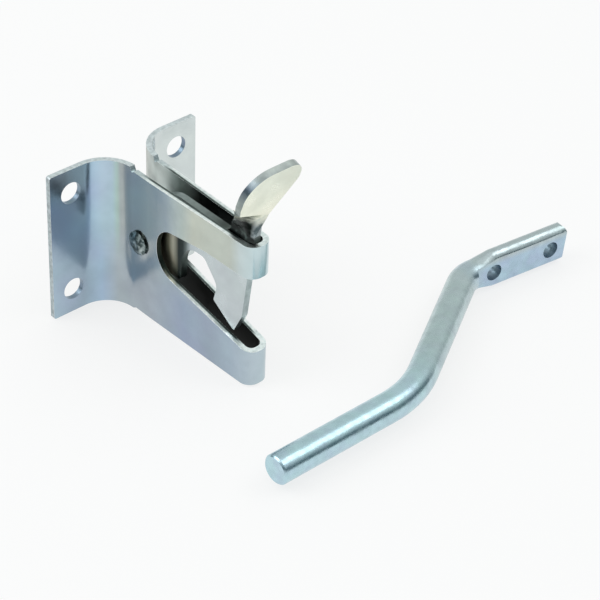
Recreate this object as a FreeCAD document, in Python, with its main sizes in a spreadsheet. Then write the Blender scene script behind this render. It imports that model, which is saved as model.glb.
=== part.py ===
import FreeCAD
import Part
import Sketcher
import math
import os

# Gate latch: a folded strip catch with a pivoting pawl on a peened rivet,
# and the cranked striker bar that goes with it.
# Frame: the origin is the middle of the four screw holes on the back face of
# the catch, X runs along the post face, Z up, and the nose points to -Y.

os.makedirs("parts", exist_ok=True)
doc = FreeCAD.newDocument("gate_latch")
Vector = FreeCAD.Vector

# Every size in mm or degrees, one row each: alias, value, what it is.
SIZES = [
    ("strip_height", 50.0, "height of the strip at the two flanges"),
    ("wall_rise", 24.0, "upper edge of the side walls above the middle"),
    ("wall_drop", 24.2, "lower edge of the side walls below the middle"),
    ("sheet_thickness", 1.7, "thickness of the strip"),
    ("overall_width", 53.6, "width over both flanges"),
    ("channel_width", 6.8, "clear width between the side walls at the rivet"),
    ("nose_gap", 4.9, "clear width between the side walls at the nose"),
    ("taper_start", 19.0, "back face to where the walls begin to close in"),
    ("projection", 63.2, "back face to the front of the nose"),
    ("bend_radius", 10.0, "radius of the bends seen from the front"),
    ("nose_radius", 3.7, "outer corner radius of the nose bend"),
    ("flange_corner", 0.7, "rounding of the flange corners"),
    ("hole_diameter", 7.0, "screw holes in the flanges"),
    ("hole_spacing_across", 38.8, "screw hole spacing from side to side"),
    ("hole_spacing_up", 34.0, "screw hole spacing up and down"),
    ("notch_depth", 0.7, "depth of the nick where wall and bend meet"),
    ("notch_width", 1.6, "width of that nick"),
    ("step_length", 1.4, "length of the step in the lower edge, in front of the bend"),
    ("mouth_back", 22.8, "back face to the back of the mouth"),
    ("mouth_top_back", 10.6, "height of the mouth roof at its back"),
    ("mouth_knee", 44.0, "back face to where the mouth roof levels off"),
    ("mouth_top_front", 13.2, "height of the mouth roof from there to the nose"),
    ("mouth_drop_back", 3.9, "depth of the mouth floor at its back"),
    ("mouth_drop_front", 12.5, "depth of the mouth floor at the nose"),
    ("mouth_top_radius", 7.2, "upper corner radius of the mouth back"),
    ("mouth_low_radius", 8.0, "lower corner radius of the mouth back in the left wall"),
    ("mouth_right_radius", 3.0, "lower corner radius of the mouth back in the right wall"),
    ("mouth_knee_radius", 20.0, "rounding where the mouth roof levels off"),
    ("pivot_forward", 14.8, "back face to the rivet axis"),
    ("pivot_height", 0.5, "height of the rivet axis"),
    ("shank_diameter", 6.0, "rivet shank"),
    ("head_diameter", 8.2, "formed rivet heads"),
    ("head_height", 1.9, "height of each rivet head"),
    ("head_rim", 0.6, "height of the rim of a rivet head"),
    ("head_crown", 3.6, "width of the crown of a rivet head"),
    ("head_seat", 6.2, "width over which a head bears on the wall"),
    ("pivot_clearance", 0.05, "clearance round the shank in the pawl"),
    ("side_clearance", 0.1, "gap between the pawl and the left wall at the nose"),
    ("stop_gap", 0.05, "gap between the pawl and the nose at rest"),
    ("pawl_thickness", 2.2, "thickness of the pawl plate"),
    ("boss_back", 6.4, "pawl edge behind the rivet axis"),
    ("boss_drop", 6.0, "pawl edge below the rivet axis"),
    ("boss_rise", 7.5, "pawl edge above the rivet axis, at its back"),
    ("boss_radius", 5.0, "rounding of the pawl round the rivet"),
    ("arm_below", 0.6, "top edge of the pawl arm below the upper edge of the walls"),
    ("arm_start", 27.0, "back face to where the top edge of the arm levels off"),
    ("arm_radius", 10.0, "rounding at that place"),
    ("neck_front", 62.2, "back face to the front edge of the neck"),
    ("neck_width", 9.7, "width of the neck where it leaves the arm"),
    ("neck_waist", 3.5, "how much narrower the neck is halfway through its twist"),
    ("neck_rise", 3.6, "start of the twist above the top edge of the arm"),
    ("neck_radius", 3.0, "hollow between the arm and the neck"),
    ("neck_step", 0.9, "front edge of the neck above the walls"),
    ("throat_back", 31.4, "back face to the rear side of the throat at its roof"),
    ("throat_foot", 30.6, "back face to the rear side of the throat at its foot"),
    ("throat_front", 41.0, "back face to the front end of the throat roof"),
    ("throat_top", 8.5, "height of the roof of the throat"),
    ("throat_radius", 7.2, "rounding of the throat at its rear side"),
    ("arch_radius", 2.6, "rounding at the front end of the throat roof"),
    ("foot_radius", 1.5, "rounding at the foot of the throat"),
    ("hook_back", 46.8, "back face to the hollow of the hook"),
    ("hook_height", 1.8, "height of the hollow of the hook"),
    ("hook_radius", 3.5, "rounding of that hollow"),
    ("barb_forward", 45.2, "back face to the rear point of the hook"),
    ("barb_drop", 3.8, "depth of the rear point of the hook"),
    ("tip_forward", 54.2, "back face to the lower tip of the hook"),
    ("tip_drop", 9.6, "depth of the lower tip of the hook"),
    ("ramp_forward", 57.6, "back face to the foot of the front edge"),
    ("ramp_drop", 2.8, "depth of the foot of the front edge"),
    ("ramp_top", 15.4, "height where the front edge begins to slope"),
    ("ramp_radius", 2.5, "rounding at the foot of the front edge"),
    ("point_radius", 0.7, "rounding of the two points of the hook"),
    ("twist_rise", 6.0, "height of the twisted part of the neck at its front edge"),
    ("twist_right", 4.1, "how far the front edge of the neck moves right as it twists"),
    ("twist_back", 1.2, "how far that edge moves back as it twists"),
    ("twist_tilt", 24.4, "rise of the foot of the thumb piece to the left, in degrees"),
    ("thumb_foot", 13.3, "width of the thumb piece where it leaves the twist"),
    ("thumb_lean", 20.0, "forward lean of the thumb piece in degrees"),
    ("thumb_left", 12.7, "thumb piece to the left of the right end of its foot"),
    ("thumb_right", 6.7, "thumb piece to the right of that end"),
    ("thumb_length", 19.5, "length of the thumb piece"),
    ("thumb_corner_left", 8.2, "upper left corner radius of the thumb piece"),
    ("thumb_corner_right", 5.2, "upper right corner radius of the thumb piece"),
    ("thumb_flare_left", 8.0, "height in the thumb piece where it is widest on the left"),
    ("thumb_flare_right", 12.2, "height in the thumb piece where it is widest on the right"),
    ("flare_radius", 3.0, "rounding at the widest part of the thumb piece"),
    ("bar_diameter", 9.1, "round striker bar"),
    ("bar_chamfer", 0.5, "chamfer on the plain end of the bar"),
    ("bar_left", 26.0, "plain end of the bar, left of the middle"),
    ("bar_forward", 99.6, "back face to the axis of the long end"),
    ("crank_start", 26.0, "where the crank begins"),
    ("crank_end", 76.0, "where the crank ends"),
    ("crank_offset", 30.2, "offset between the two ends of the bar"),
    ("crank_radius_near", 36.0, "bend radius next to the long end"),
    ("crank_radius_far", 11.0, "bend radius next to the paddle"),
    ("paddle_turn", 7.0, "angle of the paddle to the long end"),
    ("paddle_start", 79.9, "where the flattening begins"),
    ("paddle_length", 33.8, "length of the flattened end"),
    ("paddle_height", 12.8, "height of the flattened end"),
    ("paddle_swell", 7.6, "thickness of the forged end over its edges"),
    ("paddle_thickness", 5.5, "thickness between the two flats"),
    ("paddle_blend", 5.7, "length over which the bar spreads"),
    ("paddle_flat_from", 1.1, "start of the flats before the end of the round bar"),
    ("step_slope", 2.5, "backward slope of the step at the start of the flats"),
    ("paddle_slant", 1.2, "upper corner of the paddle end past its lower corner"),
    ("paddle_corner", 1.8, "corner radius at the end of the paddle"),
    ("paddle_hole", 5.5, "screw holes in the paddle"),
    ("paddle_hole_first", 5.5, "first paddle hole after the end of the round bar"),
    ("paddle_hole_last", 6.3, "last paddle hole before the end of the paddle"),
]

sheet = doc.addObject("Spreadsheet::Sheet", "Sizes")
for row, (alias, value, remark) in enumerate(SIZES, start=1):
    sheet.set("A%d" % row, alias)
    sheet.set("B%d" % row, repr(value))
    sheet.set("C%d" % row, remark)
    sheet.setAlias("B%d" % row, alias)
doc.recompute()


class Size:
    """A number that also carries the formula it came from."""

    def __init__(self, value, text):
        self.value = value
        self.text = text

    def __add__(self, other):
        other = as_size(other)
        return Size(self.value + other.value, "(%s + %s)" % (self.text, other.text))

    def __sub__(self, other):
        other = as_size(other)
        return Size(self.value - other.value, "(%s - %s)" % (self.text, other.text))

    def __mul__(self, other):
        other = as_size(other)
        return Size(self.value * other.value, "(%s * %s)" % (self.text, other.text))

    def __truediv__(self, other):
        other = as_size(other)
        return Size(self.value / other.value, "(%s / %s)" % (self.text, other.text))

    def __neg__(self):
        return Size(-self.value, "(-%s)" % self.text)


def as_size(item):
    if isinstance(item, Size):
        return item
    return Size(float(item), repr(float(item)))


def root(item):
    return Size(math.sqrt(item.value), "sqrt(%s)" % item.text)


def cosine(item):
    return Size(math.cos(math.radians(item.value)), "cos(%s * 1 deg)" % item.text)


def sine(item):
    return Size(math.sin(math.radians(item.value)), "sin(%s * 1 deg)" % item.text)


S = {alias: Size(value, "Sizes." + alias) for alias, value, remark in SIZES}


def new_body(name):
    return doc.addObject("PartDesign::Body", name)


def origin_item(body, role):
    for item in body.Origin.OriginFeatures:
        if item.Role == role:
            return item
    raise ValueError(role)


def new_sketch(body, name, role, base=(0, 0, 0), turn=None, axis=(0, 0, 1)):
    """A sketch on one of the body's own origin planes; base is in the plane's own axes."""
    sketch = body.newObject("Sketcher::SketchObject", name)
    sketch.AttachmentSupport = [(origin_item(body, role), "")]
    sketch.MapMode = "FlatFace"
    base = [as_size(item) for item in base]
    angle = as_size(0 if turn is None else turn)
    place = FreeCAD.Placement(Vector(*[item.value for item in base]),
                              FreeCAD.Rotation(Vector(*axis), angle.value))
    sketch.AttachmentOffset = place
    for letter, item in zip("xyz", base):
        if item.text != "0.0":
            sketch.setExpression("AttachmentOffset.Base." + letter, item.text)
    if turn is not None:
        sketch.setExpression("AttachmentOffset.Rotation.Angle", angle.text)
    return sketch


def dimension(rules, kind, parts, size):
    """One dimension, kept with its formula until the sketch takes all rules at once."""
    rules.append((Sketcher.Constraint(kind, *parts, size.value), size.text))


def hold(rules, geo, pos, x, y):
    """Hold a point at x, y measured from the sketch origin."""
    for kind, size, axis in (("DistanceX", as_size(x), -2), ("DistanceY", as_size(y), -1)):
        if size.text == "0.0":
            rules.append((Sketcher.Constraint("PointOnObject", geo, pos, axis), None))
        elif size.value > 0:
            dimension(rules, kind, (-1, 1, geo, pos), size)
        else:
            dimension(rules, kind, (geo, pos, -1, 1), -size)


def settle(sketch, rules):
    """Give the sketch its rules in one go, then tie the dimensions to their formulas."""
    first = sketch.ConstraintCount
    sketch.addConstraint([rule for rule, text in rules])
    for number, (rule, text) in enumerate(rules):
        if text is not None:
            sketch.setExpression("Constraints[%d]" % (first + number), text)


def flat(point):
    return Vector(as_size(point[0]).value, as_size(point[1]).value, 0)


def outline(sketch, corners, radii, closed=True):
    """Straight sides between the corners, each corner rounded by its radius or left sharp."""
    count = len(corners)
    spots = [flat(corner) for corner in corners]
    rounds = []
    for i in range(count):
        if radii[i] is None:
            rounds.append(None)
            continue
        before = (spots[i - 1] - spots[i]).normalize()
        after = (spots[(i + 1) % count] - spots[i]).normalize()
        half = before.getAngle(after) / 2
        size = radii[i].value
        centre = spots[i] + (before + after).normalize() * (size / math.sin(half))
        tangent = size / math.tan(half)
        toward = centre + (spots[i] - centre).normalize() * size
        rounds.append((spots[i] + before * tangent, toward, spots[i] + after * tangent))
    lines = []
    for i in range(count if closed else count - 1):
        j = (i + 1) % count
        start = rounds[i][2] if rounds[i] else spots[i]
        end = rounds[j][0] if rounds[j] else spots[j]
        lines.append(sketch.addGeometry(Part.LineSegment(start, end), False))
    rules = []
    for i in range(count):
        x, y = corners[i]
        before = lines[i - 1] if (closed or i > 0) else None
        after = lines[i] if (closed or i < count - 1) else None
        if rounds[i] is None:
            if after is None:
                hold(rules, before, 2, x, y)
                continue
            if before is not None:
                rules.append((Sketcher.Constraint("Coincident", before, 2, after, 1), None))
            hold(rules, after, 1, x, y)
            continue
        enter, toward, leave = rounds[i]
        begin = 1 if (toward - enter).cross(leave - enter).z > 0 else 2
        ends = (enter, toward, leave) if begin == 1 else (leave, toward, enter)
        arc = sketch.addGeometry(Part.Arc(*ends), False)
        mark = sketch.addGeometry(Part.Point(spots[i]), True)
        rules.append((Sketcher.Constraint("Tangent", before, 2, arc, begin), None))
        rules.append((Sketcher.Constraint("Tangent", arc, 3 - begin, after, 1), None))
        rules.append((Sketcher.Constraint("PointOnObject", mark, 1, before), None))
        rules.append((Sketcher.Constraint("PointOnObject", mark, 1, after), None))
        dimension(rules, "Radius", (arc,), radii[i])
        hold(rules, mark, 1, x, y)
    settle(sketch, rules)


def circle(sketch, x, y, diameter):
    spot = flat((x, y))
    index = sketch.addGeometry(Part.Circle(spot, Vector(0, 0, 1), diameter.value / 2), False)
    rules = []
    hold(rules, index, 3, x, y)
    dimension(rules, "Diameter", (index,), diameter)
    settle(sketch, rules)


def oval(sketch, width, height):
    """An ellipse about the sketch origin, its long axis upright."""
    top = Vector(0, height.value / 2, 0)
    shape = Part.Ellipse(top, Vector(width.value / 2, 0, 0), Vector(0, 0, 0))
    index = sketch.addGeometry(shape, False)
    sketch.exposeInternalGeometry(index)
    rules = [(Sketcher.Constraint("Coincident", index, 3, -1, 1), None)]
    rules.append((Sketcher.Constraint("Vertical", index + 1), None))
    dimension(rules, "Distance", (index + 1,), height)
    dimension(rules, "Distance", (index + 2,), width)
    settle(sketch, rules)


def pad(body, name, sketch, length, both_ways=False):
    feature = body.newObject("PartDesign::Pad", name)
    feature.Profile = sketch
    feature.Length = length.value
    feature.setExpression("Length", length.text)
    if both_ways:
        feature.SideType = "Symmetric"
    return feature


def cut_through(body, name, sketch):
    feature = body.newObject("PartDesign::Pocket", name)
    feature.Profile = sketch
    feature.Type = "ThroughAll"
    feature.SideType = "Symmetric"
    return feature


def box_corners(left, low, right, high):
    return [(left, low), (right, low), (right, high), (left, high)]


# How far the outline of a cut is drawn past the solid, how far that of a bevel is, and
# how far joined features run into each other.
PAST = 6
EDGE = 1
SINK = 0.3


# The folded strip of the catch, bent from one piece of sheet.

strip = new_body("catch_body")
half_width = S["overall_width"] / 2
half_height = S["strip_height"] / 2
wall_top = S["wall_rise"]
wall_low = S["wall_drop"]
thick = S["sheet_thickness"]
inner = S["channel_width"] / 2
outer = inner + thick
nose_inner = S["nose_gap"] / 2
nose_outer = nose_inner + thick
reach = S["projection"]
taper = -S["taper_start"]
wall_start = thick + S["bend_radius"]

plan = new_sketch(strip, "strip_plan", "XY_Plane")
outline(plan, [
    (-half_width, 0), (-half_width, -thick), (-outer, -thick), (-outer, taper),
    (-nose_outer, -reach), (nose_outer, -reach),
    (outer, taper), (outer, -thick), (half_width, -thick), (half_width, 0),
    (inner, 0), (inner, taper), (nose_inner, thick - reach),
    (-nose_inner, thick - reach), (-inner, taper), (-inner, 0),
], [
    None, None, S["bend_radius"], None,
    S["nose_radius"], S["nose_radius"],
    None, S["bend_radius"], None, None,
    S["bend_radius"] + thick, None, S["nose_radius"] - thick,
    S["nose_radius"] - thick, None, S["bend_radius"] + thick,
])
pad(strip, "strip_fold", plan, S["strip_height"], both_ways=True)

# Side view: the mouth, its lower back corner rounder in the left wall than in the
# right one, and the walls a little lower than the flanges.
beyond = reach + PAST
for name, low_radius, to_right in (("left", S["mouth_low_radius"], False),
                                   ("right", S["mouth_right_radius"], True)):
    mouth = new_sketch(strip, "mouth_shape_" + name, "YZ_Plane")
    outline(mouth, [
        (-beyond, S["mouth_top_front"]), (-S["mouth_knee"], S["mouth_top_front"]),
        (-S["mouth_back"], S["mouth_top_back"]), (-S["mouth_back"], -S["mouth_drop_back"]),
        (-reach, -S["mouth_drop_front"]), (-beyond, -S["mouth_drop_front"]),
    ], [None, S["mouth_knee_radius"], S["mouth_top_radius"], low_radius, None, None])
    opened = cut_through(strip, "mouth_" + name, mouth)
    opened.SideType = "One side"
    opened.Reversed = to_right

away_z = half_height + PAST
upper = new_sketch(strip, "upper_edge_shape", "YZ_Plane")
half_nick = S["notch_width"] / 2
outline(upper, [
    (-beyond, wall_top), (-wall_start - half_nick, wall_top),
    (-wall_start, wall_top - S["notch_depth"]), (half_nick - wall_start, half_height),
    (half_nick - wall_start, away_z), (-beyond, away_z),
], [None] * 6)
cut_through(strip, "upper_edge", upper)
lower = new_sketch(strip, "lower_edge_shape", "YZ_Plane")
outline(lower, [
    (-beyond, -wall_low), (-wall_start - S["step_length"], -wall_low),
    (-wall_start, -half_height), (-wall_start, -away_z), (-beyond, -away_z),
], [None] * 5)
cut_through(strip, "lower_edge", lower)

# Front view: rounded flange corners and the four screw holes.
front = new_sketch(strip, "flange_corners_shape", "XZ_Plane")
away_x = half_width + PAST
outline(front, box_corners(-away_x, -away_z, away_x, away_z), [None] * 4)
outline(front, box_corners(-half_width, -half_height, half_width, half_height),
        [S["flange_corner"]] * 4)
cut_through(strip, "flange_corners", front)

holes = new_sketch(strip, "screw_hole_shape", "XZ_Plane")
across = S["hole_spacing_across"] / 2
up = S["hole_spacing_up"] / 2
for x in (-across, across):
    for z in (-up, up):
        circle(holes, x, z, S["hole_diameter"])
cut_through(strip, "screw_holes", holes)

axis_y = -S["pivot_forward"]
axis_z = S["pivot_height"]
rivet_hole = new_sketch(strip, "rivet_hole_shape", "YZ_Plane")
circle(rivet_hole, axis_y, axis_z, S["shank_diameter"])
cut_through(strip, "rivet_hole", rivet_hole)

# The pivot rivet: a plain shank with a formed head outside each wall.

rivet = new_body("pivot_rivet")
head = S["head_diameter"] / 2
shank = S["shank_diameter"] / 2
seat = S["head_seat"] / 2
crown = S["head_crown"] / 2
rim = outer + S["head_rim"]
top = outer + S["head_height"]
profile = new_sketch(rivet, "rivet_profile", "XY_Plane", (0, axis_y, axis_z))
outline(profile, [
    (-top, 0), (top, 0), (top, crown), (rim, head), (outer, seat),
    (outer, shank), (-outer, shank), (-outer, seat), (-rim, head),
    (-top, crown),
], [None, None, crown, None, None, None, None, None, None, crown])
turned = rivet.newObject("PartDesign::Revolution", "rivet_turned")
turned.Profile = profile
turned.ReferenceAxis = (profile, ["H_Axis"])
turned.Angle = 360

# The pawl: a flat plate beside the left wall, its neck twisted a quarter turn
# into the thumb piece.

pawl = new_body("pawl")
left = S["side_clearance"] - nose_inner
plate_middle = left + S["pawl_thickness"] / 2
inside_radius = S["nose_radius"] - thick
from_centre = inside_radius - S["side_clearance"]
rest = root(inside_radius * inside_radius - from_centre * from_centre)
front_edge = reach - S["nose_radius"] + rest - S["stop_gap"]
neck_back = S["neck_front"] - S["neck_width"]
arm_z = wall_top - S["arm_below"]
neck_z = arm_z + S["neck_rise"]
plate = new_sketch(pawl, "pawl_plate_shape", "YZ_Plane", (0, 0, left))
outline(plate, [
    (axis_y + S["boss_back"], axis_z - S["boss_drop"]),
    (axis_y + S["boss_back"], axis_z + S["boss_rise"]),
    (-S["arm_start"], arm_z),
    (-neck_back, arm_z),
    (-neck_back, neck_z),
    (-S["neck_front"], neck_z),
    (-S["neck_front"], wall_top + S["neck_step"]),
    (-front_edge, wall_top + S["neck_step"] / 2),
    (-front_edge, S["ramp_top"]),
    (-S["ramp_forward"], -S["ramp_drop"]),
    (-S["tip_forward"], -S["tip_drop"]),
    (-S["barb_forward"], -S["barb_drop"]),
    (-S["hook_back"], S["hook_height"]),
    (-S["throat_front"], S["throat_top"]),
    (-S["throat_back"], S["throat_top"]),
    (-S["throat_foot"], axis_z - S["boss_drop"]),
], [
    S["boss_radius"], S["boss_radius"], S["arm_radius"], S["neck_radius"], None, None, None,
    None, S["arm_radius"], S["ramp_radius"], S["point_radius"], S["point_radius"],
    S["hook_radius"], S["arch_radius"], S["throat_radius"], S["foot_radius"],
])
circle(plate, axis_y, axis_z, S["shank_diameter"] + S["pivot_clearance"] * 2)
pad(pawl, "pawl_plate", plate, S["pawl_thickness"])

SECTIONS = 7
deep = S["pawl_thickness"] / 2
sections = []
for step in range(SECTIONS):
    share = step / (SECTIONS - 1)
    x = plate_middle + S["twist_right"] * share
    y = -S["neck_front"] + S["twist_back"] * share
    z = neck_z + S["twist_rise"] * share
    width = S["neck_width"] + (S["thumb_foot"] - S["neck_width"]) * share
    width = width - S["neck_waist"] * (4 * share * (1 - share))
    lean = FreeCAD.Rotation(Vector(1, 0, 0), S["thumb_lean"].value * share)
    swing = FreeCAD.Rotation(Vector(0, 0, 1), 90 * (1 + share))
    rise = FreeCAD.Rotation(Vector(0, 1, 0), -S["twist_tilt"].value * share)
    whole = lean.multiply(swing).multiply(rise)
    section = new_sketch(pawl, "neck_section_%d" % step, "XY_Plane", (x, y, z),
                         math.degrees(whole.Angle), tuple(whole.Axis))
    outline(section, box_corners(0, -deep, width, deep), [None] * 4)
    sections.append(section)
neck = pawl.newObject("PartDesign::AdditiveLoft", "neck")
neck.Profile = sections[0]
neck.Sections = sections[1:]
neck.Ruled = True

thumb_x = plate_middle + S["twist_right"]
thumb_y = S["neck_front"] - S["twist_back"]
thumb_z = neck_z + S["twist_rise"]
thumb = new_sketch(pawl, "thumb_shape", "XZ_Plane", (thumb_x, thumb_z, thumb_y),
                   S["thumb_lean"], (1, 0, 0))
foot_x = S["thumb_foot"] * cosine(S["twist_tilt"])
foot_z = S["thumb_foot"] * sine(S["twist_tilt"])
thumb_top = S["thumb_length"]
outline(thumb, [
    (-foot_x + SINK, foot_z - SINK), (-SINK, -SINK), (0, 0),
    (S["thumb_right"], S["thumb_flare_right"]), (S["thumb_right"], thumb_top),
    (-S["thumb_left"], thumb_top), (-S["thumb_left"], S["thumb_flare_left"]),
    (-foot_x, foot_z),
], [
    None, None, None, S["flare_radius"], S["thumb_corner_right"], S["thumb_corner_left"],
    None, None,
])
pad(pawl, "thumb", thumb, S["pawl_thickness"], both_ways=True)

# The striker: round bar bent to a crank, its far end forged flat and drilled.
# It lies beside the catch as in the picture, on the level of the catch's lower edge.

bar = new_body("striker_bar")
bar_z = S["paddle_height"] / 2 - half_height
bar_y = -S["bar_forward"]
far_y = S["crank_offset"] - S["bar_forward"]
run = S["paddle_start"] - S["crank_end"]
paddle_y = far_y - run * sine(S["paddle_turn"]) / cosine(S["paddle_turn"])
path = new_sketch(bar, "bar_path", "XY_Plane", (0, 0, bar_z))
outline(path, [
    (-S["bar_left"], bar_y), (S["crank_start"], bar_y), (S["crank_end"], far_y),
    (S["paddle_start"], paddle_y),
], [None, S["crank_radius_near"], S["crank_radius_far"], None], closed=False)
ring = new_sketch(bar, "bar_section", "YZ_Plane", (bar_y, bar_z, -S["bar_left"]))
circle(ring, 0, 0, S["bar_diameter"])
round_bar = bar.newObject("PartDesign::AdditivePipe", "round_bar")
round_bar.Profile = ring
round_bar.Spine = (path, ["Edge%d" % (i + 1) for i in range(5)])
doc.recompute()

bevel = new_sketch(bar, "bar_bevel_shape", "XY_Plane", (0, bar_y, bar_z))
radius = S["bar_diameter"] / 2
over = S["bar_chamfer"] + EDGE
outline(bevel, [
    (-S["bar_left"] - EDGE, radius - over), (over - S["bar_left"], radius + EDGE),
    (-S["bar_left"] - EDGE, radius + EDGE),
], [None] * 3)
bevelled = bar.newObject("PartDesign::Groove", "bar_bevel")
bevelled.Profile = bevel
bevelled.ReferenceAxis = (bevel, ["H_Axis"])
bevelled.Angle = 360

turn = S["paddle_turn"]
ahead = []
for station in (as_size(0), S["paddle_blend"], S["paddle_length"]):
    ahead.append((S["paddle_start"] + station * cosine(turn), paddle_y - station * sine(turn)))


def paddle_section(name, place):
    return new_sketch(bar, name, "YZ_Plane", (place[1], bar_z, place[0]), turn, (0, -1, 0))


start = paddle_section("paddle_section_start", ahead[0])
circle(start, 0, 0, S["bar_diameter"])
spread = paddle_section("paddle_section_spread", ahead[1])
oval(spread, S["paddle_swell"], S["paddle_height"])
blend = bar.newObject("PartDesign::AdditiveLoft", "paddle_blend_part")
blend.Profile = start
blend.Sections = [spread]

forged = paddle_section("paddle_section_full", ahead[1])
oval(forged, S["paddle_swell"], S["paddle_height"])
pad(bar, "paddle_part", forged, S["paddle_length"] - S["paddle_blend"])

side = S["paddle_thickness"] / 2
past = S["paddle_length"] + PAST
local = (ahead[0][0], ahead[0][1], bar_z)
for name, sign in (("front", -1), ("rear", 1)):
    flat_cut = new_sketch(bar, name + "_flat_shape", "XY_Plane", local, turn, (0, 0, -1))
    near = side if sign > 0 else -side
    deep = side + PAST if sign > 0 else -side - PAST
    outline(flat_cut, [
        (-S["paddle_flat_from"], near), (past, near), (past, deep),
        (-S["paddle_flat_from"] - S["step_slope"], deep),
    ], [None] * 4)
    cut_through(bar, name + "_flat", flat_cut)

ends = new_sketch(bar, "paddle_end_shape", "XZ_Plane", (local[0], bar_z, -local[1]), turn,
                  (0, -1, 0))
half_paddle = S["paddle_height"] / 2
upper_end = S["paddle_length"]
lower_end = S["paddle_length"] - S["paddle_slant"]
outline(ends, [
    (upper_end - PAST, -half_paddle), (lower_end, -half_paddle),
    (upper_end, half_paddle), (upper_end - PAST, half_paddle),
    (upper_end - PAST, half_paddle + PAST), (past, half_paddle + PAST),
    (past, -half_paddle - PAST), (upper_end - PAST, -half_paddle - PAST),
], [None, S["paddle_corner"], S["paddle_corner"], None, None, None, None, None])
cut_through(bar, "paddle_end", ends)

drill = new_sketch(bar, "paddle_hole_shape", "XZ_Plane", (local[0], bar_z, -local[1]), turn,
                   (0, -1, 0))
circle(drill, S["paddle_hole_first"], 0, S["paddle_hole"])
circle(drill, S["paddle_length"] - S["paddle_hole_last"], 0, S["paddle_hole"])
cut_through(bar, "paddle_holes", drill)

doc.recompute()

# Checks, then one STEP file for each piece.

for item in doc.Objects:
    if "Invalid" in item.State or "Error" in item.State:
        raise RuntimeError("%s is in state %s" % (item.Name, item.State))
for body in (strip, rivet, pawl, bar):
    shape = body.Shape
    if shape.isNull() or not shape.isValid() or len(shape.Solids) != 1:
        raise RuntimeError("%s has no single valid solid" % body.Name)
    body.Shape.exportStep("parts/%s.step" % body.Name)
    size = shape.BoundBox
    print(body.Name, "volume", round(shape.Volume, 1), "box",
          [round(v, 2) for v in (size.XMin, size.YMin, size.ZMin, size.XMax, size.YMax, size.ZMax)])
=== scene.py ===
import bpy
import math
from mathutils import Euler, Matrix, Vector


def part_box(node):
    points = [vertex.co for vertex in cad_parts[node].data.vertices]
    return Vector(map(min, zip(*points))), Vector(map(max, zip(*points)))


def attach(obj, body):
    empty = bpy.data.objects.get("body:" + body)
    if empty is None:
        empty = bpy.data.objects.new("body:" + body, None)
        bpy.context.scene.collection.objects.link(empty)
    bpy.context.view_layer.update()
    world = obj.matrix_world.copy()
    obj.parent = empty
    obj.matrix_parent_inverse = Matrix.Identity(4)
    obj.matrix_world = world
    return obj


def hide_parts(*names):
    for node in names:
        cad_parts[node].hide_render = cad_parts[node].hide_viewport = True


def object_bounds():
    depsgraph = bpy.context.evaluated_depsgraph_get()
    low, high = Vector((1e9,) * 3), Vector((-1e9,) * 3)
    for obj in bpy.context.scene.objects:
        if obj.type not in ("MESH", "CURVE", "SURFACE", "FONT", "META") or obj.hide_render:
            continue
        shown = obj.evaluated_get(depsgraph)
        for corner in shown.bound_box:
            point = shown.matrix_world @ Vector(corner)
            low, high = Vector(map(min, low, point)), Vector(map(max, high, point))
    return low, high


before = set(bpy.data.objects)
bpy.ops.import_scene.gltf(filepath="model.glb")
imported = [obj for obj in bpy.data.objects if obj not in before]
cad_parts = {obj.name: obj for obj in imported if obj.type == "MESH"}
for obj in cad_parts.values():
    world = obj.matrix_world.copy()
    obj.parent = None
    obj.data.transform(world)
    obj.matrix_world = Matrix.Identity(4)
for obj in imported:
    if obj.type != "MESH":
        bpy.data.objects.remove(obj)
cad_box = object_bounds()

# Catch strip
# One folded strip of cold rolled steel, blanked and bent in a press and then zinc plated,
# blue passivated. The broad faces are bright and soft, their tint painted to follow their
# reflections, the sheared edges lighter, partly by painted highlight, and the inside of the
# channel is dull, because little zinc reaches it, and darkened by painted shade.

# Corners nearer than the seam, in metres, become one, and faces that meet flatter than this
# angle are joined.
SEAM = 0.000002
FLAT = math.radians(0.2)


def deselect():
    if bpy.context.mode != "OBJECT":
        bpy.ops.object.mode_set(mode="OBJECT")
    bpy.ops.object.select_all(action="DESELECT")


def merged_copy(solid, name):
    """A copy of a CAD solid with its loose triangles joined, selected and active."""
    deselect()
    piece = bpy.data.objects.new(name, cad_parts[solid].data.copy())
    piece.data.name = name
    piece.data.materials.clear()
    bpy.context.scene.collection.objects.link(piece)
    piece.select_set(True)
    bpy.context.view_layer.objects.active = piece
    bpy.ops.mesh.customdata_custom_splitnormals_clear()
    bpy.ops.object.mode_set(mode="EDIT")
    bpy.ops.mesh.select_all(action="SELECT")
    bpy.ops.mesh.remove_doubles(threshold=SEAM)
    bpy.ops.mesh.dissolve_limited(angle_limit=FLAT)
    bpy.ops.object.mode_set(mode="OBJECT")
    return piece


def round_edges(piece, width, sharp, slot=-1, chosen=None):
    """Rounds the edges over sharp degrees, or the chosen ones, in slot or as the faces beside."""
    bevel = piece.modifiers.new("rounded edge", "BEVEL")
    bevel.width = width
    bevel.segments = 3
    bevel.material = slot
    bevel.limit_method = "ANGLE"
    bevel.angle_limit = math.radians(sharp)
    if chosen:
        marks = piece.data.attributes.new("bevel_weight_edge", "FLOAT", "EDGE")
        for number in chosen:
            marks.data[number].value = 1.0
        bevel.limit_method = "WEIGHT"
    bpy.ops.object.modifier_apply(modifier=bevel.name)
    if chosen:
        piece.data.attributes.remove(piece.data.attributes["bevel_weight_edge"])


def smooth(piece, sharp):
    """Shades a piece smooth but for its edges over sharp degrees; flat faces stay flat."""
    bpy.ops.object.shade_smooth_by_angle(angle=math.radians(sharp))
    weighted = piece.modifiers.new("flat faces stay flat", "WEIGHTED_NORMAL")
    weighted.keep_sharp = True
    bpy.ops.object.modifier_apply(modifier=weighted.name)


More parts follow.
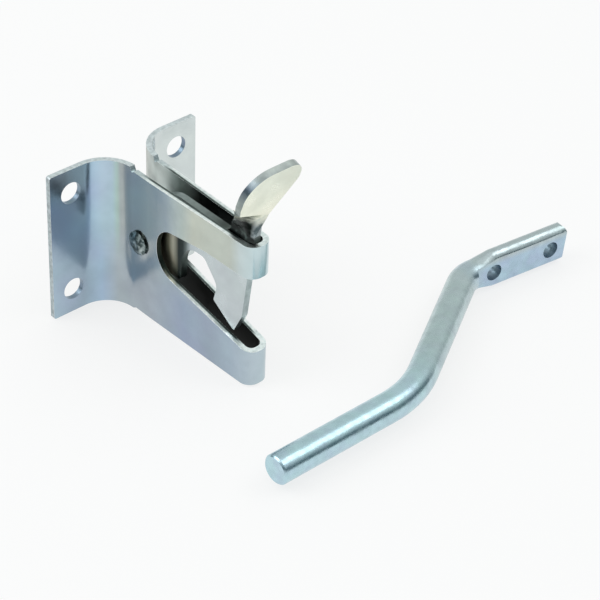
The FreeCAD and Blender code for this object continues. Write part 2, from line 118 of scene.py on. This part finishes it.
def srgb(code):
    """The linear colour of an sRGB hex value."""
    parts = [int(code[i:i + 2], 16) / 255 for i in (1, 3, 5)]
    line = [p / 12.92 if p <= 0.04045 else ((p + 0.055) / 1.055) ** 2.4 for p in parts]
    return (*line, 1.0)


def node(tree, kind, links=None, **settings):
    """Adds a node; links maps an input to a value or to another node's output."""
    made = tree.nodes.new(kind)
    for name, value in settings.items():
        setattr(made, name, value)
    for socket, value in (links or {}).items():
        if isinstance(value, bpy.types.Node):
            value = value.outputs[0]
        if isinstance(value, bpy.types.NodeSocket):
            tree.links.new(value, made.inputs[socket])
        else:
            made.inputs[socket].default_value = value
    return made


def metal(name):
    """A new metal, its nodes and its shader; a metal keeps the default IOR."""
    material = bpy.data.materials.new(name)
    material.use_nodes = True
    shader = material.node_tree.nodes["Principled BSDF"]
    shader.inputs["Metallic"].default_value = 1.0
    return material, material.node_tree, shader


def in_mm(tree):
    """The place on the piece in millimetres: the vector, then its x, y and z."""
    place = node(tree, "ShaderNodeTexCoord")
    place = node(tree, "ShaderNodeVectorMath", {0: place.outputs["Object"], "Scale": 1000.0},
                 operation="SCALE")
    parts = node(tree, "ShaderNodeSeparateXYZ", {0: place})
    return place.outputs[0], *parts.outputs


def along_strip(tree, x, y):
    """Millimetres along the folded strip: -27 at a flange's end, 0 in a bend, 60 at the nose."""
    side = node(tree, "ShaderNodeMath", {0: x}, operation="ABSOLUTE")
    back = node(tree, "ShaderNodeMath", {0: y, 1: side}, operation="ADD")
    return node(tree, "ShaderNodeMath", {0: back, 1: -1.0}, operation="MULTIPLY")


def ramp(tree, along, stops):
    """Colours along a length in millimetres or a noise, from pairs of place and hex colour."""
    low, high = stops[0][0], stops[-1][0]
    share = node(tree, "ShaderNodeMapRange",
                 {"Value": along, "From Min": low, "From Max": high})
    made = node(tree, "ShaderNodeValToRGB", {0: share})
    bands = made.color_ramp.elements
    while len(bands) < len(stops):
        bands.new(0.5)
    for band, (place, code) in zip(bands, stops):
        band.position = (place - low) / (high - low)
        band.color = srgb(code)
    return made.outputs["Color"]


# A noise stays mostly between 0.3 and 0.7. The film of the plating drifts in longer waves than
# its clouds, and its hue by this much either way of 0.5, which leaves a colour as it is.
NOISE = {"From Min": 0.3, "From Max": 0.7}
FILM_TO_CLOUD = 0.6
HUE_DRIFT = 0.015


def weather(tree, shader, place, tint, cloud_size, contrast, roughness):
    """Gives a tint its clouds, its wandering hue and a roughness between two values."""
    cloud = node(tree, "ShaderNodeTexNoise",
                 {"Vector": place, "Scale": 1 / cloud_size, "Detail": 3.0})
    film = node(tree, "ShaderNodeTexNoise",
                {"Vector": place, "Scale": FILM_TO_CLOUD / cloud_size, "Detail": 1.0})
    shade = node(tree, "ShaderNodeMapRange",
                 {"Value": cloud, **NOISE, "To Min": 1 - contrast, "To Max": 1 + contrast})
    hue = node(tree, "ShaderNodeMapRange",
               {"Value": film, **NOISE, "To Min": 0.5 - HUE_DRIFT, "To Max": 0.5 + HUE_DRIFT})
    tint = node(tree, "ShaderNodeHueSaturation", {"Hue": hue, "Value": shade, "Color": tint})
    rough = node(tree, "ShaderNodeMapRange",
                 {"Value": cloud, **NOISE, "To Min": roughness[1], "To Max": roughness[0]})
    tree.links.new(tint.outputs[0], shader.inputs["Base Color"])
    tree.links.new(rough.outputs[0], shader.inputs["Roughness"])


def dents(tree, shader, place, size, depth):
    """Shallow waves in the surface, size in millimetres and depth in metres."""
    wave = node(tree, "ShaderNodeTexNoise", {"Vector": place, "Scale": 1 / size, "Detail": 2.0})
    bump = node(tree, "ShaderNodeBump", {"Strength": 1.0, "Distance": depth, "Height": wave})
    tree.links.new(bump.outputs[0], shader.inputs["Normal"])


# Zinc, blue passivated (#9BACBE to #D3DBDA), roughness 0.15 to 0.25: a soft bright mirror whose
# film wanders a little in hue. Along the strip its tint is painted reflection, from blue through
# cream to lilac, bluer in the lower half and palest on the right bend and flange.
rolled, tree, shader = metal("blue_passivated_zinc")
place, x, y, z = in_mm(tree)
along = along_strip(tree, x, y)
upper = ramp(tree, along, [
    (-27, "#9EAFBD"), (-12, "#A0B9D0"), (-8.5, "#AEC6D8"), (-6, "#B2C9D7"), (-2, "#AFC6D2"),
    (0, "#ABC3BE"), (1.5, "#A8B1B2"), (6, "#B6B8B5"), (14, "#C7CBC6"), (22, "#AEBAC0"),
    (29, "#B7C3BF"), (34, "#C6CBBF"), (40, "#BEC5BB"), (50, "#BEC5BC"), (54, "#C3CFD0"),
    (60, "#C5D5DA"),
])
lower = ramp(tree, along, [
    (-27, "#ADC2D0"), (-14, "#9EAFC0"), (-7, "#A7BED3"), (0, "#ADB8BE"), (15, "#A6B0BA"),
    (30, "#9BACBE"), (42, "#9CAAB9"), (51, "#A5B5C2"), (60, "#B7C7CE"),
])
# Painted reflection: the lower half of the strip is painted bluer.
split = node(tree, "ShaderNodeMapRange", {"Value": z, "From Min": -10.0, "From Max": 4.0})
tint = node(tree, "ShaderNodeMix", {0: split, 6: lower, 7: upper}, data_type="RGBA")
# Painted reflection: the right bend and flange are painted palest.
right = node(tree, "ShaderNodeMapRange", {"Value": x, "From Min": 4.0, "From Max": 9.0})
tint = node(tree, "ShaderNodeMix", {0: right, 6: tint.outputs[2], 7: srgb("#D3DBDA")},
            data_type="RGBA")
weather(tree, shader, place, tint.outputs[2], cloud_size=7.0, contrast=0.05,
        roughness=(0.15, 0.25))
dents(tree, shader, place, size=9.0, depth=0.00005)

# The same zinc inside the channel (#0D1412 to #CFD8D6), roughness 0.28 to 0.42: thin and dull.
# Its tint is painted shade and reflection: a little brown in the bends and almost black with
# painted shade toward the nose. The painted shade starts further on in the upper part of the
# channel.
channel, tree, shader = metal("dull_zinc_in_the_channel")
place, x, y, z = in_mm(tree)
along = along_strip(tree, x, y)
upper = ramp(tree, along, [
    (-27, "#ACB8BB"), (-13, "#AEB9B9"), (-6, "#BBB3A6"), (0, "#B1B5AF"), (8, "#BCC5C2"),
    (13, "#CFD8D6"), (16.5, "#A0ABA9"), (20, "#78837F"), (24.5, "#818C88"), (29.5, "#1E2624"),
    (60, "#1E2725"),
])
lower = ramp(tree, along, [
    (-27, "#ACB8BB"), (-13, "#AEB9B9"), (-6, "#BBB3A6"), (0, "#B1B5AF"), (8, "#A3ADAA"),
    (14, "#788381"), (19, "#151C19"), (26, "#0D1412"), (60, "#0F1614"),
])
split = node(tree, "ShaderNodeMapRange", {"Value": z, "From Min": 6.0, "From Max": 14.0})
tint = node(tree, "ShaderNodeMix", {0: split, 6: lower, 7: upper}, data_type="RGBA")
weather(tree, shader, place, tint.outputs[2], cloud_size=5.0, contrast=0.12,
        roughness=(0.28, 0.42))

# Zinc on the sheared rim (#3B4644 to #F6FCFC), roughness 0.3 to 0.5, mottled in grains of about
# 1 mm. On the walls the outer half of the thickness is burnished and near white, partly painted
# highlight, and the inner half is dark with painted shade. The rim of the bends, the flanges and
# the nose is pale grey, lightest toward the nose and on top: painted highlight in part.
# The walls' outer faces stand 5.1 mm from the middle plane, and from 19 mm in front of the
# flanges they close in toward the nose by the slope.
WALL_OUTER = 5.1
WALL_CLOSES_IN = 19.0
WALL_SLOPE = 0.0235
sheared, tree, shader = metal("zinc_on_sheared_rim")
place, x, y, z = in_mm(tree)
side = node(tree, "ShaderNodeMath", {0: x}, operation="ABSOLUTE")
past = node(tree, "ShaderNodeMath", {0: y, 1: WALL_CLOSES_IN}, operation="ADD")
past = node(tree, "ShaderNodeMath", {0: past, 1: 0.0}, operation="MINIMUM")
outer = node(tree, "ShaderNodeMath", {0: past, 1: WALL_SLOPE, 2: WALL_OUTER},
             operation="MULTIPLY_ADD")
deep = node(tree, "ShaderNodeMath", {0: outer, 1: side}, operation="SUBTRACT")
# Painted highlight over real burnish on the outer half of the wall's thickness, painted shade on
# the inner half.
burnish_highlight_and_shade = ramp(tree, deep, [(0.1, "#F6FCFC"), (0.85, "#E2ECEB"), (1.1, "#5C6866"), (1.5, "#3E4947"),
                         (1.7, "#7C8886")])
wall = node(tree, "ShaderNodeMapRange", {"Value": y, "From Min": -58.5, "From Max": -56.0})
bend = node(tree, "ShaderNodeMapRange", {"Value": y, "From Min": -15.0, "From Max": -19.0})
wall = node(tree, "ShaderNodeMath", {0: wall, 1: bend}, operation="MULTIPLY")
# Painted highlight in part: the pale rim lightens toward the nose and on top.
pale = ramp(tree, y, [(-60, "#ECF6F6"), (-56, "#E2EEEE"), (-30, "#C6D2D1"), (-8, "#C9D4D7"),
                      (-2, "#B2BDC0")])
top = node(tree, "ShaderNodeMapRange", {"Value": z, "From Min": 24.2, "From Max": 24.8})
pale = node(tree, "ShaderNodeMix", {0: top, 6: pale, 7: srgb("#D6DFE2")}, data_type="RGBA")
tint = node(tree, "ShaderNodeMix", {0: wall, 6: pale.outputs[2], 7: burnish_highlight_and_shade}, data_type="RGBA")
# Painted shade darkens the rim at the back of the mouth.
high = node(tree, "ShaderNodeMath", {0: z}, operation="ABSOLUTE")
mouth = node(tree, "ShaderNodeMapRange", {"Value": high, "From Min": 20.0, "From Max": 16.0})
back = node(tree, "ShaderNodeMapRange", {"Value": y, "From Min": -30.0, "From Max": -25.0})
mouth_shade = node(tree, "ShaderNodeMath", {0: mouth, 1: back}, operation="MULTIPLY")
mouth_shade = node(tree, "ShaderNodeMath", {0: mouth_shade, 1: bend}, operation="MULTIPLY")
tint = node(tree, "ShaderNodeMix", {0: mouth_shade, 6: tint.outputs[2], 7: srgb("#3B4644")},
            data_type="RGBA")
weather(tree, shader, place, tint.outputs[2], cloud_size=1.2, contrast=0.2,
        roughness=(0.3, 0.5))

# Zinc in the screw holes (#8495A6), roughness 0.3 to 0.4: thin and grey, punched through after
# rolling, with the same blue film as the flange, and darker than the other rims: painted shade.
punched, tree, shader = metal("shaded_thin_zinc_in_the_screw_holes")
place = in_mm(tree)[0]
weather(tree, shader, place, srgb("#8495A6"), cloud_size=2.0, contrast=0.1, roughness=(0.3, 0.4))

# Zinc on the corners of the rim (#F6FCFC), roughness 0.2 to 0.35: burnished by the punch and by
# handling, and near white as painted highlight, a thin bright line.
burnish_and_highlight, tree, shader = metal("burnished_and_highlit_zinc_corner")
place = in_mm(tree)[0]
weather(tree, shader, place, srgb("#F6FCFC"), cloud_size=2.0, contrast=0.08,
        roughness=(0.2, 0.35))

# Sizes and places in metres, corners in degrees. The skin of the nose is where its outer
# corners lie, and the U-bend of the nose ends at its back.
EDGE = 0.0002
ROLLOVER = 0.0005
SHARP = 32
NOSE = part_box("catch_body")[0].y
NOSE_SKIN = NOSE + 0.0008
NOSE_BACK = NOSE + 0.0037
WALL_OUTSIDE = 0.0038
MOUTH_BACK = -0.0215
MOUTH_TOP = 0.016
MOUTH_LOW = -0.015
BEND = Vector((0.0151, -0.0117, 0))
BEND_MIDDLE = 0.01085
HOLES_FROM = Vector((0.015, -0.0017, 0.013))
HOLES_TO = Vector((0.024, 0.0, 0.021))
# Limits on a part of a face's normal, which tell how the face is turned.
TILT = 0.3
SQUARE = 0.9
SIDEWAYS = 0.7
INWARD = -0.2
BROAD, INSIDE, RIM, CORNER, HOLE = range(5)

catch = merged_copy("catch_body", "catch_strip")
for material in (rolled, channel, sheared, burnish_and_highlight, punched):
    catch.data.materials.append(material)
mesh = catch.data
for face in mesh.polygons:
    x, y, z = face.center
    normal = face.normal
    upright = abs(normal.z) < TILT
    outward = normal.x * math.copysign(1, x)
    if y > BEND.y and abs(x) < BEND.x:
        centre = Vector((math.copysign(BEND.x, x), BEND.y, 0))
        spoke = Vector((x, y, 0)) - centre
        broad = upright and abs(spoke.normalized().dot(normal)) > SQUARE
        inside = spoke.length > BEND_MIDDLE
    elif y > BEND.y:
        broad = abs(normal.y) > SQUARE
        inside = normal.y > 0
    else:
        broad = upright and (abs(normal.x) > SIDEWAYS or y < NOSE_BACK)
        inside = outward < INWARD or normal.y > SIDEWAYS
    face.material_index = RIM if not broad else (INSIDE if inside else BROAD)

# The outer corners along the mouth are rolled over by the punch more than the others.
across = {}
for face in mesh.polygons:
    for pair in face.edge_keys:
        across.setdefault(pair, []).append(face.normal)
round_mouth = []
for edge in mesh.edges:
    ends = [mesh.vertices[i].co for i in edge.vertices]
    normals = across[edge.key]
    outside = all(abs(p.x) > WALL_OUTSIDE or p.y < NOSE_SKIN for p in ends)
    in_mouth = all(p.y < MOUTH_BACK and MOUTH_LOW < p.z < MOUTH_TOP for p in ends)
    corner = len(normals) == 2 and normals[0].angle(normals[1]) > math.radians(SHARP)
    if outside and in_mouth and corner:
        round_mouth.append(edge.index)
round_edges(catch, ROLLOVER, SHARP, CORNER, round_mouth)
round_edges(catch, EDGE, SHARP, CORNER)
for face in catch.data.polygons:
    x, y, z = face.center
    spot = Vector((abs(x), y, abs(z)))
    in_hole = all(HOLES_FROM[i] < spot[i] < HOLES_TO[i] for i in range(3))
    if in_hole and face.material_index in (RIM, CORNER):
        face.material_index = HOLE
smooth(catch, SHARP)
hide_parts("catch_body")
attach(catch, "catch")

# Pivot rivet
# A plain steel rivet through both walls and the pawl, its two heads hammered over after
# plating, so they are rough, dented and darker than the strip round them.
VOXEL = 0.00016
DENT_SIZE = 0.0022
DENT_DEPTH = 0.0004

rivet = merged_copy("pivot_rivet", "rivet")
fine = rivet.modifiers.new("fine mesh", "REMESH")
fine.mode = "VOXEL"
fine.voxel_size = VOXEL
bpy.ops.object.modifier_apply(modifier=fine.name)
marks = bpy.data.textures.new("hammer marks", "VORONOI")
marks.noise_scale = DENT_SIZE
hammer = rivet.modifiers.new("hammer marks", "DISPLACE")
hammer.texture = marks
hammer.texture_coords = "LOCAL"
hammer.mid_level = 0.0
hammer.strength = -DENT_DEPTH
bpy.ops.object.modifier_apply(modifier=hammer.name)
bpy.ops.object.shade_smooth()

# Hammered steel (#2C3636 to #B9C5C4), roughness 0.25 to 0.45: the hammer broke the zinc, so dark
# steel and light zinc lie in patches of 1.4 mm.
PATCH = 1.4
hammered, tree, shader = metal("hammered_rivet_steel")
place = in_mm(tree)[0]
patches = node(tree, "ShaderNodeTexNoise", {"Vector": place, "Scale": 1 / PATCH, "Detail": 3.0})
tint = ramp(tree, patches, [
    (0.3, "#2C3636"), (0.48, "#5A6768"), (0.56, "#8D9A9A"), (0.7, "#B9C5C4"),
])
weather(tree, shader, place, tint, cloud_size=1.0, contrast=0.2, roughness=(0.25, 0.45))
rivet.data.materials.append(hammered)
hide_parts("pivot_rivet")
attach(rivet, "catch")

# Pawl
# Stamped from 2.2 mm plate, its neck twisted a quarter turn into the thumb piece, then zinc
# plated. The plate is a cool grey, the thumb piece cream, and the twist dark with painted shade.

# Zinc on the pawl (#C7D0D2 below, #F3F4E1 on the thumb piece), roughness 0.25 to 0.35. The
# twist carries painted shade, near black, in blotches of 2.5 mm whose border wanders up and down,
# and the plate behind the throat, between the walls, carries painted shade, dark and then brown.
BLOTCH = 2.5
WANDER = 4.0
plate, tree, shader = metal("zinc_plate_of_the_pawl")
place, x, y, z = in_mm(tree)
blotch = node(tree, "ShaderNodeTexNoise", {"Vector": place, "Scale": 1 / BLOTCH, "Detail": 2.0})
wander = node(tree, "ShaderNodeMath", {0: blotch, 1: WANDER, 2: -WANDER / 2},
              operation="MULTIPLY_ADD")
height = node(tree, "ShaderNodeMath", {0: z, 1: wander}, operation="ADD")
clean = ramp(tree, z, [(17, "#C7D0D2"), (26, "#9AA4A6"), (29.5, "#9CA6A8"), (33, "#F3F4E1"),
                       (44, "#F3F4E3"), (52, "#FBFCEC")])
twist_shade = ramp(tree, height, [(18, "#000000"), (22, "#FFFFFF"), (31, "#FFFFFF"), (34, "#000000")])
# The painted shade stays off the foremost edge of the twist, but for its foot.
near = node(tree, "ShaderNodeMapRange", {"Value": y, "From Min": -61.5, "From Max": -60.3})
foot = node(tree, "ShaderNodeMapRange", {"Value": z, "From Min": 27.2, "From Max": 26.2})
near = node(tree, "ShaderNodeMath", {0: near, 1: foot}, operation="MAXIMUM")
twist_shade = node(tree, "ShaderNodeMath", {0: twist_shade, 1: near}, operation="MULTIPLY")
twist_shade_colour = ramp(tree, blotch, [(0.35, "#070B0A"), (0.54, "#121816"), (0.68, "#3F4845")])
tint = node(tree, "ShaderNodeMix", {0: twist_shade, 6: clean, 7: twist_shade_colour}, data_type="RGBA")
# Behind the throat, between the walls, the plate carries painted shade, dark and then brown.
behind = node(tree, "ShaderNodeMapRange", {"Value": y, "From Min": -35.0, "From Max": -33.0})
low = node(tree, "ShaderNodeMapRange", {"Value": z, "From Min": 13.0, "From Max": 10.0})
behind = node(tree, "ShaderNodeMath", {0: behind, 1: low}, operation="MULTIPLY")
throat_shade = ramp(tree, y, [(-33.5, "#7F8A87"), (-31.5, "#343D3A"), (-29.5, "#2A322F"),
                      (-27, "#C6C1AB"), (-25, "#A9A38D"), (-23, "#A8A28C")])
tint = node(tree, "ShaderNodeMix", {0: behind, 6: tint.outputs[2], 7: throat_shade}, data_type="RGBA")
weather(tree, shader, place, tint.outputs[2], cloud_size=6.0, contrast=0.05,
        roughness=(0.25, 0.35))

# Zinc on the rim of the pawl (#141A18 to #C0C8C5), roughness 0.3 to 0.4: sheared and a little
# rough. Up the thumb piece its shades are painted reflection, paler and greener with a dark band
# near the top; it is almost black with painted shade at the front of the arm under the twist,
# and dark with painted shade from the back of the throat to the boss.
pawl_rim, tree, shader = metal("zinc_on_the_pawl_rim")
place, x, y, z = in_mm(tree)
thumb = ramp(tree, z, [
    (24, "#141A18"), (26, "#3A4240"), (28.5, "#98A1A0"), (30, "#B0B8B4"), (35, "#A8AFA6"),
    (43, "#939E9C"), (47.5, "#5F6B78"), (49.5, "#8B969A"), (51.5, "#C0C8C5"),
])
# Painted shade: the rim of the arm darkens toward the front, under the twist.
arm = ramp(tree, y, [(-62, "#1A211F"), (-58, "#3A4341"), (-54, "#57615F"), (-48, "#4A524F"),
                     (-43, "#707A78"), (-37, "#818C8A"), (-27, "#8E9A9A")])
above = node(tree, "ShaderNodeMapRange", {"Value": z, "From Min": 23.7, "From Max": 25.5})
lower = node(tree, "ShaderNodeMapRange", {"Value": z, "From Min": 20.0, "From Max": 16.0})
arm = node(tree, "ShaderNodeMix", {0: lower, 6: arm, 7: srgb("#A3B0B1")}, data_type="RGBA")
tint = node(tree, "ShaderNodeMix", {0: above, 6: arm.outputs[2], 7: thumb}, data_type="RGBA")
# Painted shade darkens the rim behind the throat, between the walls.
behind = node(tree, "ShaderNodeMapRange", {"Value": y, "From Min": -36.0, "From Max": -33.0})
low = node(tree, "ShaderNodeMapRange", {"Value": z, "From Min": 14.0, "From Max": 10.0})
behind = node(tree, "ShaderNodeMath", {0: behind, 1: low}, operation="MULTIPLY")
tint = node(tree, "ShaderNodeMix", {0: behind, 6: tint.outputs[2], 7: srgb("#46504D")},
            data_type="RGBA")
weather(tree, shader, place, tint.outputs[2], cloud_size=2.0, contrast=0.15,
        roughness=(0.3, 0.4))

# The twist lies between these two heights, in metres, and the thumb piece leans back by 20
# degrees. A face is the plate's where more than half of its normal points to front or back.
PAWL_SHARP = 40
TWIST_FOOT = 0.0262
TWIST_HEAD = 0.031
THUMB_LEAN = math.radians(20)
THUMB_FRONT = Vector((0, -math.cos(THUMB_LEAN), -math.sin(THUMB_LEAN)))
MOSTLY_BROAD = 0.5
PLATE, PLATE_RIM = range(2)

pawl = merged_copy("pawl", "pawl_plate")
for material in (plate, pawl_rim):
    pawl.data.materials.append(material)
for face in pawl.data.polygons:
    broad = abs(face.normal.x)
    if face.center.z > TWIST_HEAD:
        broad = abs(face.normal.dot(THUMB_FRONT))
    twisted = TWIST_FOOT < face.center.z < TWIST_HEAD
    face.material_index = PLATE if twisted or broad > MOSTLY_BROAD else PLATE_RIM
round_edges(pawl, EDGE, PAWL_SHARP, PLATE_RIM)
smooth(pawl, PAWL_SHARP)
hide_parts("pawl")
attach(pawl, "pawl")

# Striker bar
# Drawn round steel bar, bent cold, its end forged flat between two dies and drilled, then
# tumbled and zinc plated to a satin with a faint mottle.

# Satin zinc (#AEC5D6 to #B8D4DE, greyer on the crank), roughness 0.21 to 0.33: an even blue
# sheen, mottled by the tumbling in spots of 2 to 3 mm, with small pits.
satin, tree, shader = metal("satin_zinc_on_bar")
place, x, y, z = in_mm(tree)
tint = ramp(tree, x, [(-26, "#B8D4DE"), (25, "#B8D3DB"), (42, "#B4C7CA"), (72, "#BACACC"),
                      (82, "#AEC5D6"), (114, "#AEC5D6")])
# The upper edge of the forged end is greyer.
forged = node(tree, "ShaderNodeMapRange", {"Value": x, "From Min": 74.0, "From Max": 80.0})
top = node(tree, "ShaderNodeMapRange", {"Value": z, "From Min": -16.0, "From Max": -14.0})
top = node(tree, "ShaderNodeMath", {0: top, 1: forged}, operation="MULTIPLY")
tint = node(tree, "ShaderNodeMix", {0: top, 6: tint, 7: srgb("#B9C6C9")}, data_type="RGBA")
weather(tree, shader, place, tint.outputs[2], cloud_size=2.6, contrast=0.07,
        roughness=(0.21, 0.33))
dents(tree, shader, place, size=2.2, depth=0.00006)

# Zinc in the drilled holes (#8DA1AE), roughness 0.35 to 0.5: thin and dull over the marks of
# the drill.
drilled, tree, shader = metal("dull_zinc_in_the_drilled_holes")
place = in_mm(tree)[0]
weather(tree, shader, place, srgb("#8DA1AE"), cloud_size=1.5, contrast=0.15,
        roughness=(0.35, 0.5))

# The paddle turns away from the long end by 7 degrees. The walls of its two holes are the
# faces along their axis that lie near enough to the middle of either, in metres.
BAR_SHARP = 40
FORGED_EDGE = 0.0004
PADDLE_TURN = math.radians(7)
HOLES_MIDDLE = Vector((0.0966, -0.0692, -0.0186))
HOLES_AXIS = Vector((math.sin(PADDLE_TURN), math.cos(PADDLE_TURN), 0))
HOLES_LINE = Vector((math.cos(PADDLE_TURN), -math.sin(PADDLE_TURN), 0))
HOLES_APART = 0.022
HOLE_REACH = 0.0031
ALONG_AXIS = 0.8
DRILLED = 1

bar = merged_copy("striker_bar", "striker")
round_edges(bar, FORGED_EDGE, BAR_SHARP)
for face in bar.data.polygons:
    spot = face.center - HOLES_MIDDLE
    off = abs(spot.dot(HOLES_LINE)) - HOLES_APART / 2
    wall = abs(face.normal.dot(HOLES_AXIS)) < ALONG_AXIS
    if wall and math.hypot(off, spot.z) < HOLE_REACH:
        face.material_index = DRILLED
smooth(bar, BAR_SHARP)
for material in (satin, drilled):
    bar.data.materials.append(material)
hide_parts("striker_bar")
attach(bar, "catch")

# Floor, light and camera
# A pale paper sheet a tenth of a millimetre under the object, which the camera sees as white,
# a grey studio round it with one bright backdrop, and two soft lamps.
FLOOR_SIZE = 3.0
FLOOR_LEVEL = cad_box[0].z - 0.0001
WHITENESS = 0.75
deselect()
bpy.ops.mesh.primitive_plane_add(size=FLOOR_SIZE, location=(0, 0, FLOOR_LEVEL))
floor = bpy.context.object
floor.name = "floor"
paper = bpy.data.materials.new("white_paper")
paper.use_nodes = True
tree = paper.node_tree
shader = tree.nodes["Principled BSDF"]
shader.inputs["Base Color"].default_value = srgb("#F4F4F4")
shader.inputs["Roughness"].default_value = 0.9
shader.inputs["Specular IOR Level"].default_value = 0.0
ray = node(tree, "ShaderNodeLightPath")
seen = node(tree, "ShaderNodeMath",
            {0: ray.outputs["Is Camera Ray"], 1: ray.outputs["Is Glossy Ray"]})
seen = node(tree, "ShaderNodeMath", {0: seen, 1: ray.outputs["Is Transmission Ray"]})
share = node(tree, "ShaderNodeMath", {0: seen, 1: WHITENESS}, operation="MULTIPLY")
glow = node(tree, "ShaderNodeEmission", {"Color": (1, 1, 1, 1), "Strength": 1.0})
both = node(tree, "ShaderNodeMixShader", {0: share, 1: shader, 2: glow})
tree.links.new(both.outputs[0], tree.nodes["Material Output"].inputs["Surface"])
floor.data.materials.append(paper)

# The studio from the floor up, as pairs of height and linear colour. The backdrop fades in
# where a ray points from 0.35 to 0.6 of the way toward it.
ROOM = [(0.0, (0.07, 0.11, 0.12)), (0.3, (0.12, 0.17, 0.19)), (0.48, (0.62, 0.66, 0.66)),
        (1.0, (0.9, 0.93, 0.92))]
BACKDROP = (0.74, 0.77, 0.75, 1)
BACKDROP_WAY = (0.68, 0.73, 0.0)
BORDER = {"From Min": 0.35, "From Max": 0.6}
world = bpy.data.worlds.new("studio")
bpy.context.scene.world = world
world.use_nodes = True
tree = world.node_tree
sky = tree.nodes["Background"]
way = node(tree, "ShaderNodeTexCoord").outputs["Generated"]
parts = node(tree, "ShaderNodeSeparateXYZ", {0: way})
room = node(tree, "ShaderNodeValToRGB", {0: parts.outputs["Z"]})
bands = room.color_ramp.elements
while len(bands) < len(ROOM):
    bands.new(0.5)
for band, (high, colour) in zip(bands, ROOM):
    band.position = high
    band.color = (*colour, 1)
far = node(tree, "ShaderNodeVectorMath", {0: way, 1: BACKDROP_WAY}, operation="DOT_PRODUCT")
far = node(tree, "ShaderNodeMapRange", {"Value": far.outputs["Value"], **BORDER})
both = node(tree, "ShaderNodeMix", {0: far, 6: room, 7: BACKDROP}, data_type="RGBA")
tree.links.new(both.outputs[2], sky.inputs["Color"])
sky.inputs["Strength"].default_value = 1.0


def turned(azimuth, elevation):
    """The turn of a lamp or camera that looks at the middle from this side, in degrees."""
    return Euler((math.radians(90 - elevation), 0, math.radians(azimuth))).to_matrix().to_4x4()


def soft_lamp(name, azimuth, elevation, distance, width, watts):
    """A round lamp that shines at the middle; distance and width are in metres."""
    lamp = bpy.data.lights.new(name, "AREA")
    lamp.shape = "DISK"
    lamp.size = width
    lamp.energy = watts
    holder = bpy.data.objects.new(name, lamp)
    bpy.context.scene.collection.objects.link(holder)
    holder.matrix_world = turned(azimuth, elevation) @ Matrix.Translation((0, 0, distance))


soft_lamp("key", azimuth=-120, elevation=38, distance=1.2, width=1.0, watts=4.6)
soft_lamp("fill", azimuth=52, elevation=52, distance=1.2, width=0.7, watts=1.6)

AZIMUTH, ELEVATION = -43.05, 36.80
ROLL = math.radians(2.38)
AIM = Vector((0.01877, -0.05877, -0.00609))
AWAY = 0.66617
SENSOR, LENS = 36, 139.2
camera = bpy.data.objects.new("camera", bpy.data.cameras.new("camera"))
bpy.context.scene.collection.objects.link(camera)
turn = turned(AZIMUTH, ELEVATION) @ Matrix.Rotation(ROLL, 4, "Z")
camera.matrix_world = Matrix.Translation(AIM) @ turn @ Matrix.Translation((0, 0, AWAY))
camera.data.sensor_width = SENSOR
camera.data.lens = LENS
camera.data.clip_end = 20
bpy.context.scene.camera = camera
bpy.context.scene.view_settings.view_transform = "Standard"
